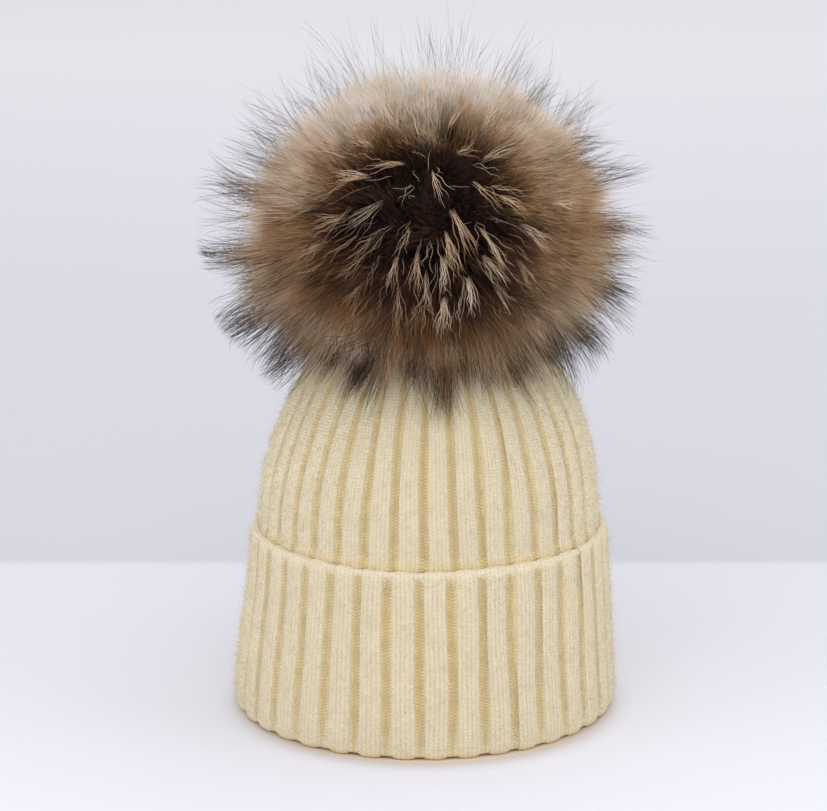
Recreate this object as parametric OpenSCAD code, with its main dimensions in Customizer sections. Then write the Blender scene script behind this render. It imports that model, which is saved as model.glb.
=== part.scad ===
// Pom pom beanie: a rib-knit winter hat with a turned-up cuff and a fur pompom on a press stud.
// Origin: centre of the folded lower edge, on the plane the hat stands on. +Z up, +Y back.

/* [Cuff] */
// Height of the turned-up cuff
cuff_h = 68; // [60:1:75]
// Outer radius of the cuff just above its fold
cuff_foot_r = 68.2; // [66.5:0.1:72]
// Outer radius of the cuff at its free upper edge
cuff_lip_r = 64.6; // [64:0.1:66]
// Thickness of one layer of rib knit
knit_t = 5; // [4:0.1:5.5]
// Radius of the fold's outer corner
fold_r = 3.5; // [3:0.5:6]

/* [Crown] */
// Outer radius of the knit tube where it runs down inside the cuff
tube_r = 58.9; // [57:0.1:59.1]
// Outer radius that the dome springs from
crown_r = 61.7; // [60:0.1:64]
// Height of the level that the dome springs from
dome_z = 64; // [60:1:66]
// Rise of the dome above that level
dome_h = 88; // [84:1:94]
// Exponent of the dome's outline: 2 is an ellipse, more is squarer
dome_power = 2.4; // [2.1:0.1:3]

/* [Press stud] */
// Radius of the stud's base and of the socket
snap_r = 7; // [6:0.5:8]
// Radius of the stud's round head
stud_head_r = 3.2; // [2.8:0.1:3.4]
// Radius of the rivet shank through the knit
shank_r = 2.2; // [1.8:0.1:2.4]
// Radius of the felt patch that backs the crown
patch_r = 15; // [12:1:16]

/* [Pompom] */
// Height of the fur ball's centre
pom_z = 180; // [179:1:184]
// Outer radius of the gathered hide ball
hide_r = 27; // [24:0.5:28]
// Thickness of the hide
hide_t = 1.4; // [1:0.1:2]
// Radius that the dense underfur fills
underfur_r = 56; // [50:1:60]
// Radius that the guard hair reaches
guard_r = 77; // [70:1:82]
// Radius of the stiff disc under the hide ball
base_disc_r = 12; // [10:0.5:13]

/* [Hidden] */
$fn = 96;
run_gap = 0.3;          // clearance between pieces that move past each other
foot_z = knit_t + run_gap;
lip_round = knit_t / 2;
cuff_in_top = cuff_lip_r - knit_t;
cuff_in_foot = cuff_foot_r - knit_t;
tube_in = tube_r - knit_t;
tuck_in = tube_in + 0.2;            // inner radius of the fold's tucked-under lip
dome_from = 9;                      // the dome's parameter runs between these two angles
dome_to = 66;                       // above it the crown is pressed flat by the pompom
dome_steps = 12;
dome_turn = (dome_to - dome_from) / dome_steps;

crown_top = dome_z + dome_h * pow(sin(dome_to), 2 / dome_power);
crown_in_top = crown_top - knit_t;
bore_r = shank_r + 0.3;

thread_r = 0.7;                     // gather threads
patch_t = 1.8;
patch_z = crown_in_top - 2 * thread_r - 0.1 - patch_t;
post_cap_r = 6;
post_cap_t = 1.2;
gather_r = 6;

stud_base_t = 1.2;
neck_r = 2.2;
stud_head_z = crown_top + stud_base_t + stud_head_r + 1;
socket_drop = 1.8;                  // how far the socket's rim hangs below the head's centre
socket_z = stud_head_z - socket_drop;
recess_r = stud_head_r + run_gap;
recess_h = socket_drop + stud_head_r + run_gap;
socket_h = recess_h + 0.8;
spring_wire_r = 0.35;
spring_ring_r = recess_r + spring_wire_r + 0.05;
spring_z = stud_head_z - 0.6;
groove_r = spring_ring_r + spring_wire_r + 0.15;
groove_h = 2 * spring_wire_r + 0.3;

disc_t = 1.8;
disc_z = socket_z + socket_h;
disc_top = disc_z + disc_t;
socket_post_r = 2;
tilt_room = 1.9;                    // free height that the ball needs to tip over the disc
draw_ring_r = 11;
draw_z = disc_top + tilt_room + thread_r;
hide_foot_z = draw_z + thread_r + 0.05;
hide_mouth_r = 8;

neck_room_r = 19;                   // free radius inside the fur around the disc and socket
skirt = [[neck_room_r, 150.5], [32, 147.5], [43, 140.5], [55, 128.5]];

// Locks of guard hair: rows of [elevation angle, locks in the row]
lock_rows = [[-35, 12], [-20, 16], [-5, 16], [10, 16], [25, 16], [41, 12], [58, 8], [75, 4]];
lock_root_r = 5.6;
lock_tip_r = 0.5;
lock_lift = 0.6;                    // keeps each lock's flat root clear of the round underfur

// Points of an arc about [x, y]
function arc(x, y, r, from, to, steps = 6) =
  [for (i = [0:steps]) let (a = from + (to - from) * i / steps) [x + r * cos(a), y + r * sin(a)]];

// Points up the dome's outline, moved inwards by inset
function dome(inset, steps = dome_steps) =
  [for (i = [0:steps]) let (a = dome_from + dome_turn * i)
    [(crown_r - inset) * cos(a), dome_z + (dome_h - inset) * pow(sin(a), 2 / dome_power)]];

// The knit tube from its foot inside the cuff to the shoulder above the cuff, moved inwards
function tube(inset, from = foot_z) =
  [[tube_r - inset, from], [tube_r - inset, cuff_h], [tube_r + 1.3 - inset, cuff_h + 6]];

module ring(r, wire, z) {
  translate([0, 0, z]) rotate_extrude() translate([r, 0]) circle(r = wire, $fn = 24);
}

module disc(r, h, z, hole = 0) {
  difference() {
    translate([0, 0, z]) cylinder(r = r, h = h);
    if (hole > 0) translate([0, 0, z - 1]) cylinder(r = hole, h = h + 2);
  }
}

// Outer layer of rib knit, turned up from the fold, with the fold's flat underside
module turn_up_cuff() {
  color("#e6dbb8")
    rotate_extrude()
      polygon(concat(
        arc(cuff_foot_r - fold_r, fold_r, fold_r, -90, 0),
        arc(cuff_lip_r - lip_round, cuff_h - lip_round, lip_round, 0, 180),
        [[cuff_in_foot, knit_t + 6], [cuff_in_foot - 2, knit_t]],
        arc(tuck_in + lip_round, lip_round, lip_round, 90, 270)
      ));
}

// The hat's body: a tube that stands on the fold and closes in a dome
module crown_knit() {
  color("#e2d5ab")
    difference() {
      rotate_extrude()
        polygon(concat(
          tube(0),
          dome(0),
          [[0, crown_top], [0, crown_in_top]],
          [for (i = [dome_steps:-1:0]) dome(knit_t)[i]],
          [for (i = [2:-1:0]) tube(knit_t)[i]]
        ));
      translate([0, 0, crown_in_top - 2]) cylinder(r = bore_r, h = knit_t + 4);
    }
}

// Ridge of seaming yarn up the inside of the back
module back_seam() {
  seam_angle = 5;
  seam_t = 1.5;
  seam_from = foot_z + 3;
  seam_steps = dome_steps - 3;        // stops short of the gathered top
  outer = knit_t + 0.02;
  inner = outer + seam_t;
  color("#d9c896")
    rotate([0, 0, 90 - seam_angle / 2])
      rotate_extrude(angle = seam_angle)
        polygon(concat(
          tube(outer, seam_from),
          dome(outer, seam_steps),
          [for (i = [seam_steps:-1:0]) dome(inner, seam_steps)[i]],
          [for (i = [2:-1:0]) tube(inner, seam_from)[i]]
        ));
}

// Thread that draws the last row of stitches together under the crown's top
module gather_thread() {
  color("#d9c896") ring(gather_r, thread_r, crown_in_top - thread_r - 0.05);
}

// Felt disc that spreads the stud's pull over the knit
module backing_patch() {
  color("#b9ab88") disc(patch_r, patch_t, patch_z, bore_r);
}

// Rivet cap inside the hat, with the shank that the stud is set on
module stud_post_cap() {
  color("silver") {
    disc(post_cap_r, post_cap_t, patch_z - post_cap_t);
    translate([0, 0, patch_z - 0.1]) cylinder(r = shank_r, h = crown_top - patch_z + 0.1);
  }
}

// Male half of the press stud, on top of the crown
module snap_stud() {
  color("silver") {
    disc(snap_r, stud_base_t, crown_top);
    translate([0, 0, crown_top + 0.5]) cylinder(r = neck_r, h = stud_head_z - crown_top);
    translate([0, 0, stud_head_z]) sphere(r = stud_head_r);
  }
}

// Ring spring inside the socket
module snap_spring() {
  color("dimgray") ring(spring_ring_r, spring_wire_r, spring_z);
}

// Female half of the press stud, with its post up through the base disc
module snap_socket() {
  color("silver")
    difference() {
      union() {
        disc(snap_r, socket_h, socket_z);
        translate([0, 0, socket_z + socket_h - 0.5]) cylinder(r = socket_post_r, h = disc_t + 0.5);
      }
      translate([0, 0, socket_z - 1]) cylinder(r = recess_r, h = recess_h + 1);
      disc(groove_r, groove_h, spring_z - groove_h / 2);
    }
}

// Rivet cap that closes the socket's post over the disc
module socket_post_cap() {
  color("silver") disc(4, 1, disc_top);
}

// Stiff disc that the ball is gathered over
module pompom_base_disc() {
  color("#2b2622") disc(base_disc_r, disc_t, disc_z, socket_post_r);
}

// Thread run round the hide's edge and drawn up
module pelt_drawstring() {
  color("#3a312a") ring(draw_ring_r, thread_r, draw_z);
}

// Hide of the pelt, gathered into a ball round the stuffing, with its hem turned in
module pelt_hide() {
  color("#cdb491")
    difference() {
      intersection() {
        translate([0, 0, pom_z]) sphere(r = hide_r);
        translate([0, 0, hide_foot_z]) cylinder(r = hide_r + 1, h = 2 * hide_r);
      }
      intersection() {
        translate([0, 0, pom_z]) sphere(r = hide_r - hide_t);
        translate([0, 0, hide_foot_z + hide_t]) cylinder(r = hide_r, h = 2 * hide_r);
      }
      translate([0, 0, hide_foot_z - 1]) cylinder(r = hide_mouth_r, h = hide_t + 2);
    }
}

// Ball of polyester fibre
module fibre_stuffing() {
  color("white")
    intersection() {
      translate([0, 0, pom_z]) sphere(r = hide_r - hide_t - 0.05);
      translate([0, 0, hide_foot_z + hide_t + 0.05]) cylinder(r = hide_r, h = 2 * hide_r);
    }
}

// Dense woolly fur next to the hide, hollow below where it sits over the crown
module underfur() {
  color("#4a3a2c")
    difference() {
      translate([0, 0, pom_z]) sphere(r = underfur_r);
      translate([0, 0, pom_z]) sphere(r = hide_r + 0.05);
      rotate_extrude()
        polygon(concat([[0, pom_z]], [[neck_room_r, pom_z]], skirt, [[75, 100], [0, 100]]));
    }
}

// One lock of guard hair, pointing along +X at the given height and turn
module lock(elevation, turn) {
  translate([0, 0, pom_z])
    rotate([0, 90 - elevation, turn])
      translate([0, 0, underfur_r + lock_lift])
        cylinder(r1 = lock_root_r, r2 = lock_tip_r, h = guard_r - underfur_r - lock_lift, $fn = 24);
}

// Long guard hair as separate locks that stand out of the underfur
module guard_fur() {
  color("#8c7456") {
    for (row = lock_rows, i = [0:row[1] - 1])
      lock(row[0], (i + 0.5) * 360 / row[1]);
    lock(90, 0);
  }
}

turn_up_cuff();
crown_knit();
back_seam();
gather_thread();
backing_patch();
stud_post_cap();
snap_stud();
snap_spring();
snap_socket();
socket_post_cap();
pompom_base_disc();
pelt_drawstring();
pelt_hide();
fibre_stuffing();
underfur();
guard_fur();
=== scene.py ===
"""Looks of the pom pom beanie: rib knit, wool fuzz and a fur pompom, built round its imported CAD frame.

Lengths are in millimetres and angles in degrees; new_piece() turns the vertices into metres.
"""
import math

import bpy
import numpy as np
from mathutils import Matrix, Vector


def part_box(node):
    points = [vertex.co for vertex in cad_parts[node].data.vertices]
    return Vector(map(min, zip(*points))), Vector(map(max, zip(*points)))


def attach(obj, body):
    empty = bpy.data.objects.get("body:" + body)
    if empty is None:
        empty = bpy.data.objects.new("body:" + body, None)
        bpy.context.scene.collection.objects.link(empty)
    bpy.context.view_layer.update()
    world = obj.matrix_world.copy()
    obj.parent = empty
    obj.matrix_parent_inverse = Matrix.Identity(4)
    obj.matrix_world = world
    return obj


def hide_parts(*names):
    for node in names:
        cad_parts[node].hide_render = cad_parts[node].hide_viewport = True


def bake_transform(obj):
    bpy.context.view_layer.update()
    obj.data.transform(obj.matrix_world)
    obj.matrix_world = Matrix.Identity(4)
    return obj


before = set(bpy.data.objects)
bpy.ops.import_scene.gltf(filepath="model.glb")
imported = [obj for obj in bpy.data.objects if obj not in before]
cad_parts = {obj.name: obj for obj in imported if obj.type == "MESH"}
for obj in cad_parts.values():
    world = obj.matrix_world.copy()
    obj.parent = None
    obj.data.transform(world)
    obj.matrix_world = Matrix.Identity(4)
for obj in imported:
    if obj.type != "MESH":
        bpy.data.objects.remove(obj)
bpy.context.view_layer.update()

MM = 0.001


def box_of(node):
    """The lowest and highest corners of a CAD node, in millimetres."""
    low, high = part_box(node)
    return np.array(low) / MM, np.array(high) / MM


# -------------------- sizes

RIBS = 36                       # ribs round the cuff and round the crown
WALES = 5                       # fine columns of knit stitches on one rib
GROOVE_WALES = 2                # columns of purl stitches in one groove
RIB_SHARE = 0.70                # share of the round that the ribs take
COURSE = 1.15                   # height of one row of stitches
ROW = 0.65                      # distance between rows of vertices on a knit face
KNIT_T = 5.0                    # thickness of one layer of rib knit
FRONT = -90.0                   # direction of the hat's front, round the axis

CUFF_FOOT_R = box_of("turn_up_cuff")[1][0]
CUFF_H = box_of("turn_up_cuff")[1][2]
CUFF_LIP_R = CUFF_FOOT_R - 3.6  # the cuff narrows towards its edge
TUCK_Z = 3.5                    # the cuff's inside turns in under the crown at this height
FOLD_WIDE = 2.1                 # the soft round of the fold at the hat's foot
FOLD_TALL = 4.5
LIP_ROUND = KNIT_T / 2          # radius of the cuff's round edge

TUBE_FOOT_Z = box_of("crown_knit")[0][2]
CROWN_TOP = box_of("crown_knit")[1][2]
DOME_FROM = 9.0                 # the dome's parameter runs between these two angles
DOME_TO = 66.0
DOME_POWER = 2.4
DOME_Z = 64.0
DOME_R = box_of("crown_knit")[1][0] / math.cos(math.radians(DOME_FROM))
DOME_H = (CROWN_TOP - DOME_Z) / math.sin(math.radians(DOME_TO)) ** (2 / DOME_POWER)
TUBE_R = DOME_R - 2.8
SHOULDER_Z = CUFF_H - 28        # the crown's tube starts to widen here
SHANK_HOLE_R = 2.5              # hole for the press stud's shank

HIDE_HIGH = box_of("pelt_hide")[1]
POM_CENTRE = np.array([0.0, 0.0, HIDE_HIGH[2] - HIDE_HIGH[0]])

CAMERA_ELEVATION = 15.2
CAMERA_DISTANCE = 1392.0
CAMERA_LENS = 168.0
CAMERA_AIM = np.array([-5.4, 0.0, 111.0])

TABLE_FRONT = -0.2              # where the table's colours start, in metres along Y
TABLE_DEPTH = 2.0               # the depth that they cover
SHADE_CENTRE = (-0.001, -0.005)  # middle of the shade round the hat's foot, in metres
SHADE_REACH = 0.1


# -------------------- small helpers


def linear(r, g, b):
    """A colour given as 0-255 screen values, as the linear values that shaders take."""
    c = np.array([r, g, b]) / 255
    c = np.where(c <= 0.04045, c / 12.92, ((c + 0.055) / 1.055) ** 2.4)
    return (*c.tolist(), 1.0)


def unit(v):
    """Vectors scaled to length 1."""
    return v / np.linalg.norm(v, axis=-1, keepdims=True)


def smooth_step(low, high, x):
    """0 up to low, 1 from high, with soft ends between them; low may be the larger of the two."""
    t = np.clip((x - low) / (high - low), 0, 1)
    return t * t * (3 - 2 * t)


def waves(rng, points, count, frequency):
    """A smooth random field over 3-D points, about -1 to 1."""
    k = rng.normal(size=(count, 3)) * frequency
    phase = rng.uniform(0, 2 * math.pi, count)
    return np.cos(points @ k.T + phase).sum(-1) / math.sqrt(count)


def new_piece(name, verts, quads, material, tris=(), uvs=None, attributes=None):
    """A smooth mesh object. verts in millimetres; uvs and attributes are {name: array}."""
    mesh = bpy.data.meshes.new(name)
    mesh.vertices.add(len(verts))
    mesh.vertices.foreach_set("co", (np.asarray(verts) * MM).astype(np.float32).ravel())
    loops = np.concatenate([np.ravel(quads), np.ravel(tris)]).astype(np.int32)
    starts = np.concatenate([
        np.arange(len(quads)) * 4,
        len(quads) * 4 + np.arange(len(tris)) * 3,
    ]).astype(np.int32)
    mesh.loops.add(len(loops))
    mesh.loops.foreach_set("vertex_index", loops)
    mesh.polygons.add(len(starts))
    mesh.polygons.foreach_set("loop_start", starts)
    for layer, values in (uvs or {}).items():
        mesh.uv_layers.new(name=layer).data.foreach_set("uv", values.astype(np.float32).ravel())
    for layer, values in (attributes or {}).items():
        attribute = mesh.attributes.new(layer, "FLOAT", "POINT")
        attribute.data.foreach_set("value", values.astype(np.float32).ravel())
    mesh.update(calc_edges=True)
    mesh.validate()
    mesh.shade_smooth()
    mesh.materials.append(material)
    piece = bpy.data.objects.new(name, mesh)
    bpy.context.scene.collection.objects.link(piece)
    return piece


# -------------------- material building


class Nodes:
    """A material's node tree, with short calls for the nodes used here."""

    def __init__(self, name, **sockets):
        self.material = bpy.data.materials.new(name)
        self.material.use_nodes = True
        self.tree = self.material.node_tree
        self.shader = self.tree.nodes["Principled BSDF"]
        for socket, value in sockets.items():
            self.shader.inputs[socket.replace("_", " ")].default_value = value

    def add(self, kind, **settings):
        node = self.tree.nodes.new("ShaderNode" + kind)
        for key, value in settings.items():
            setattr(node, key, value)
        return node

    def put(self, value, socket):
        """Links an output to a socket, or sets the socket to a constant."""
        if isinstance(value, bpy.types.NodeSocket):
            self.tree.links.new(value, socket)
        else:
            socket.default_value = value

    def math(self, operation, *values):
        node = self.add("Math", operation=operation)
        for value, socket in zip(values, node.inputs):
            self.put(value, socket)
        return node.outputs[0]

    def mix(self, factor, a, b, blend="MIX"):
        """Colour a where factor is 0 and b where it is 1."""
        node = self.add("Mix", data_type="RGBA", blend_type=blend)
        self.put(factor, node.inputs["Factor"])
        self.put(a, node.inputs[6])
        self.put(b, node.inputs[7])
        return node.outputs[2]

    def ramp(self, factor, stops):
        """stops are (position, colour) pairs."""
        node = self.add("ValToRGB")
        elements = node.color_ramp.elements
        elements[0].position, elements[1].position = stops[0][0], stops[-1][0]
        elements[0].color, elements[1].color = stops[0][1], stops[-1][1]
        for position, colour in stops[1:-1]:
            elements.new(position).color = colour
        self.put(factor, node.inputs[0])
        return node.outputs[0]

    def noise(self, scale, detail=3.0, roughness=0.5):
        """Noise in object space; scale is in waves per metre."""
        node = self.add("TexNoise")
        node.inputs["Scale"].default_value = scale
        node.inputs["Detail"].default_value = detail
        node.inputs["Roughness"].default_value = roughness
        self.put(self.add("TexCoord").outputs["Object"], node.inputs["Vector"])
        return node.outputs["Fac"]

    def place(self):
        """The three coordinates in object space, in metres."""
        node = self.add("SeparateXYZ")
        self.put(self.add("TexCoord").outputs["Object"], node.inputs[0])
        return node.outputs

    def uv(self, layer):
        """The two coordinates of a UV layer."""
        place = self.add("UVMap", uv_map=layer)
        split = self.add("SeparateXYZ")
        self.put(place.outputs[0], split.inputs[0])
        return split.outputs[0], split.outputs[1]

    def attribute(self, layer):
        return self.add("Attribute", attribute_name=layer).outputs["Fac"]

    def bump(self, height, distance, strength=1.0):
        """Bump on the shader; distance in millimetres."""
        node = self.add("Bump")
        node.inputs["Strength"].default_value = strength
        node.inputs["Distance"].default_value = distance * MM
        self.put(height, node.inputs["Height"])
        self.put(node.outputs[0], self.shader.inputs["Normal"])

    def finish(self, colour, roughness=None):
        """Sets the shader's colour, and its roughness if that varies, and returns the material."""
        self.put(colour, self.shader.inputs["Base Color"])
        if roughness is not None:
            self.put(roughness, self.shader.inputs["Roughness"])
        return self.material


def grey(value):
    """A linear grey."""
    return (value, value, value, 1.0)


# -------------------- materials

BAKE_UV = "OFBake"              # one layout for the colours here
KNIT_UV = "stitches"            # (wales, courses), one unit for each stitch


def knit_material():
    """Brushed cream wool: V stitches on the ribs and purl stitches in the grooves, with painted warm
    shade in the grooves, inside the cuff and where the knit meets the table or the cuff's edge.
    """
    n = Nodes("rib_knit_wool", Roughness=0.92, Sheen_Weight=1.0, Sheen_Roughness=0.5,
              Sheen_Tint=linear(255, 244, 220), Specular_IOR_Level=0.12)
    wale, course = n.uv(KNIT_UV)
    within = n.math("FRACT", wale)
    across = n.math("MULTIPLY", n.math("ABSOLUTE", n.math("SUBTRACT", within, 0.5)), 2.0)
    # painted warm shade: golden in the grooves, at half strength over the cuff's inside and underside,
    # and where the knit meets the table or lies on the cuff's edge
    warm_shade = n.attribute("warm_shade")
    lip = n.attribute("lip")
    fibre = n.noise(2600, 2.0, 0.6)
    uneven = n.noise(420, 3.0, 0.6)
    cloud = n.noise(90, 2.0)
    fleck = n.noise(1100, 1.0)

    # the two legs of a knit stitch slant up from the middle of the wale
    course = n.math("MULTIPLY_ADD", uneven, 0.9, course)
    leg = n.math("ADD", course, n.math("MULTIPLY", across, 0.6))
    v_stitch = n.math("MULTIPLY_ADD", n.math("COSINE", n.math("MULTIPLY", leg, 2 * math.pi)), 0.5, 0.5)
    # purl bumps lie half a course apart in neighbouring wales
    side = n.math("FLOOR", wale)
    bump_at = n.math("MULTIPLY_ADD", side, 0.5, n.math("MULTIPLY_ADD", across, -0.5, course))
    purl = n.math("MULTIPLY_ADD", n.math("COSINE", n.math("MULTIPLY", bump_at, 2 * math.pi)), 0.5, 0.5)
    stitch = n.mix(warm_shade, v_stitch, purl)
    ridge = n.math("SUBTRACT", 1.0, n.math("POWER", across, 2.5))

    wool = n.mix(cloud, linear(255, 243, 214), linear(250, 240, 208))
    wool = n.mix(lip, wool, linear(255, 243, 216))
    # painted shade between the legs of the V stitches, uneven with the flecks, and deeper at the edges
    # of each wale
    shade = n.math("MULTIPLY", n.math("SUBTRACT", 1.0, v_stitch), n.math("MULTIPLY", fleck, 0.45))
    wool = n.mix(shade, wool, linear(226, 204, 148))
    stitch_gap_shade = n.math("MULTIPLY", n.math("POWER", across, 4.0), n.math("SUBTRACT", 1.0, v_stitch))
    wool = n.mix(n.math("MULTIPLY", stitch_gap_shade, 0.7), wool, linear(206, 184, 128))
    # painted warm shade in the grooves, lighter on top of the purl bumps
    deep = n.mix(purl, linear(218, 182, 102), linear(247, 227, 166))
    wool = n.mix(warm_shade, wool, deep)
    wool = n.mix(n.math("MULTIPLY", fibre, 0.15), wool, linear(226, 204, 150))
    wool = n.mix(n.ramp(fleck, [(0.3, grey(0.35)), (0.55, grey(0.0))]), wool, linear(232, 208, 160))

    height = n.math("MULTIPLY_ADD", stitch, 0.55, n.math("MULTIPLY", ridge, 0.45))
    n.bump(n.math("MULTIPLY_ADD", fibre, 0.6, height), 0.55, 0.9)
    return n.finish(wool)


def strand_material(name, tones, root, tip, tip_colour, **sockets):
    """Hair. The bake layout's first axis runs from root to tip and its second picks the hair's tone.

    tones are colours from tone 0 to 1; root and tip are (position, amount) pairs along the hair, of
    darkening at the root and of tip_colour at the tip.
    """
    n = Nodes(name, **sockets)
    along, tone = n.uv(BAKE_UV)
    own = n.ramp(tone, [(i / (len(tones) - 1), c) for i, c in enumerate(tones)])
    shade = n.ramp(along, [(p, grey(a)) for p, a in root])
    own = n.mix(1.0, own, shade, "MULTIPLY")
    ended = n.ramp(along, [(p, grey(a)) for p, a in tip])
    return n.finish(n.mix(ended, own, tip_colour))


PELT_TONES = [
    linear(32, 24, 24), linear(86, 61, 52), linear(147, 103, 66), linear(193, 155, 112),
    linear(214, 185, 152), linear(236, 216, 192), linear(250, 242, 232),
]


def underfur_material():
    return strand_material(
        "underfur_wool", PELT_TONES, [(0.0, 0.3), (0.4, 0.7), (0.75, 1.0)], [(0.0, 0.0), (1.0, 0.0)],
        linear(30, 24, 22), Roughness=0.8, Specular_IOR_Level=0.06)


def awn_material():
    return strand_material(
        "awn_hair", PELT_TONES, [(0.0, 0.3), (0.4, 0.7), (0.7, 1.0)],
        [(0.0, 0.0), (0.9, 0.0), (1.0, 0.5)],
        linear(60, 44, 36), Roughness=0.6, Specular_IOR_Level=0.12)


def guard_material(name, black_from):
    """Hair with a black tip, from black_from along it."""
    return strand_material(
        name, PELT_TONES, [(0.0, 0.3), (0.4, 0.7), (0.6, 0.9)],
        [(0.0, 0.0), (black_from, 0.0), (black_from + 0.18, 0.9), (1.0, 1.0)],
        linear(14, 13, 16), Roughness=0.5, Specular_IOR_Level=0.2)


def tuft_material():
    return strand_material(
        "pale_tuft_hair", [linear(206, 162, 122), linear(238, 206, 170), linear(252, 238, 216)],
        [(0.0, 0.3), (0.25, 0.8), (0.4, 1.0)], [(0.0, 0.0), (1.0, 0.15)],
        linear(150, 110, 80), Roughness=0.45, Specular_IOR_Level=0.3)


def fuzz_material():
    return strand_material(
        "wool_fuzz", [linear(232, 216, 172), linear(242, 232, 205), linear(246, 238, 222)],
        [(0.0, 0.85), (1.0, 1.0)], [(0.0, 0.0), (1.0, 0.0)],
        linear(240, 230, 205), Roughness=0.8, Specular_IOR_Level=0.2, Sheen_Weight=0.5)


def metal_material(name, colour, roughness):
    """Plated metal with fine polishing marks."""
    n = Nodes(name, Metallic=1.0)
    marks = n.noise(1800, 4.0, 0.7)
    n.bump(marks, 0.01, 0.4)
    duller = tuple(0.86 * c for c in colour[:3]) + (1.0,)
    tint = n.mix(n.noise(300), colour, duller)
    return n.finish(tint, n.math("MULTIPLY_ADD", marks, 0.15, roughness))


def felt_material():
    n = Nodes("wool_felt", Roughness=0.95, Sheen_Weight=0.4)
    fibre = n.noise(1500, 6.0, 0.75)
    n.bump(fibre, 0.4, 0.8)
    return n.finish(n.mix(fibre, linear(150, 138, 110), linear(206, 194, 164)))


def plastic_material():
    n = Nodes("moulded_plastic", Specular_IOR_Level=0.5)
    grain = n.noise(2200, 3.0, 0.6)
    n.bump(grain, 0.05, 0.3)
    return n.finish(n.mix(n.noise(160), linear(38, 33, 29), linear(52, 46, 41)),
                    n.math("MULTIPLY_ADD", grain, 0.2, 0.35))


def thread_material(name, dark, light):
    """Twisted thread: its plies are a slanted wave round the ring."""
    n = Nodes(name, Roughness=0.75, Sheen_Weight=0.2)
    x, y, z = n.place()
    turn = n.math("MULTIPLY", n.math("ARCTAN2", y, x), 42.0)
    ply = n.math("SINE", n.math("MULTIPLY_ADD", z, 3200.0, turn))
    ply = n.math("MULTIPLY_ADD", ply, 0.5, 0.5)
    n.bump(ply, 0.25, 0.9)
    return n.finish(n.mix(ply, dark, light))


def leather_material():
    n = Nodes("tanned_hide", Roughness=0.8, Specular_IOR_Level=0.3)
    grain = n.noise(900, 5.0, 0.65)
    n.bump(grain, 0.2, 0.6)
    return n.finish(n.mix(n.noise(70), linear(58, 42, 36), linear(92, 68, 54)),
                    n.math("MULTIPLY_ADD", grain, 0.2, 0.65))


def stuffing_material():
    n = Nodes("polyester_fibre", Roughness=0.9, Sheen_Weight=0.6)
    fibre = n.noise(700, 6.0, 0.8)
    n.bump(fibre, 0.8, 0.8)
    return n.finish(n.mix(fibre, linear(226, 226, 230), linear(246, 246, 248)))


# -------------------- rib knit


def resample(points, step):
    """Points evenly spaced along a polyline, about step apart."""
    points = np.asarray(points, float)
    run = np.concatenate([[0], np.cumsum(np.linalg.norm(np.diff(points, axis=0), axis=1))])
    at = np.linspace(0, run[-1], max(1, round(run[-1] / step)) + 1)
    return np.stack([np.interp(at, run, points[:, k]) for k in (0, 1)], 1)


def arc(x, y, r, start, end, steps=16):
    """Points of an arc about (x, y)."""
    a = np.radians(np.linspace(start, end, steps + 1))
    return np.stack([x + r * np.cos(a), y + r * np.sin(a)], 1)


def dome(inset, steps=64):
    """Points up the dome's outline, moved inwards by inset."""
    a = np.radians(np.linspace(DOME_FROM, DOME_TO, steps + 1))
    return np.stack([(DOME_R - inset) * np.cos(a),
                     DOME_Z + (DOME_H - inset) * np.sin(a) ** (2 / DOME_POWER)], 1)


def closed_profile(*stretches):
    """Joins (points, step) stretches into one closed outline, without their shared points."""
    rows = [resample(points, step)[:-1] for points, step in stretches]
    return np.concatenate(rows)


WALE_RELIEF = 0.16              # how far the columns of stitches stand out on a rib
PURL_RELIEF = 0.4               # how far the purl bumps stand out in a groove
COURSE_RELIEF = 0.04            # how far each row of stitches stands out on a rib


class Columns:
    """The vertex columns round a rib-knit layer, with each column's place on its rib or groove.

    groove_at is how far the groove nearest the front is turned from it.
    """

    def __init__(self, rib_columns, groove_columns, groove_at):
        per_rib = (np.arange(rib_columns) + 0.5) / rib_columns
        per_groove = (np.arange(groove_columns) + 0.5) / groove_columns
        across = np.concatenate([per_rib, per_groove])
        on_rib = np.arange(len(across)) < rib_columns
        wale = np.where(on_rib, across * WALES, WALES + across * GROOVE_WALES)
        phase = np.where(on_rib, across * RIB_SHARE, RIB_SHARE + across * (1 - RIB_SHARE))
        off_middle = np.abs(2 * across - 1)
        edge = np.where(on_rib, off_middle ** 3.6, 1.0)
        # painted warm shade: full in a groove's middle, less at its sides, and a trace at a rib's edges
        warm_shade_share = np.where(on_rib, 0.4 * off_middle ** 11, 1.0 - 0.45 * off_middle ** 2)
        ridge = np.where(on_rib, -np.cos(2 * math.pi * across * WALES) * (1 - edge), 0.0)
        purl_side = np.where(across < 0.5, 1.0, -1.0)
        purl = np.where(on_rib, 0.0, purl_side * np.abs(np.sin(2 * math.pi * across)))
        self.count = RIBS * len(across)
        self.rib = np.repeat(np.arange(RIBS), len(across))
        start = FRONT + groove_at + (1 - RIB_SHARE) / 2 * 360 / RIBS
        self.angle = np.radians(start + (self.rib + np.tile(phase, RIBS)) * 360 / RIBS)
        self.wale = self.rib * (WALES + GROOVE_WALES) + np.tile(wale, RIBS)
        self.groove = np.tile(edge, RIBS)          # 0 on top of a rib, 1 in a groove
        self.warm_shade_share = np.tile(warm_shade_share, RIBS)            # how much painted warm shade the wool takes here
        self.off = np.tile(np.where(on_rib, 1.0, off_middle), RIBS)  # 0 in the middle of a groove
        self.ridge = np.tile(ridge, RIBS)          # relief of the columns of stitches
        self.purl = np.tile(purl, RIBS)            # relief of the purl bumps


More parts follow.
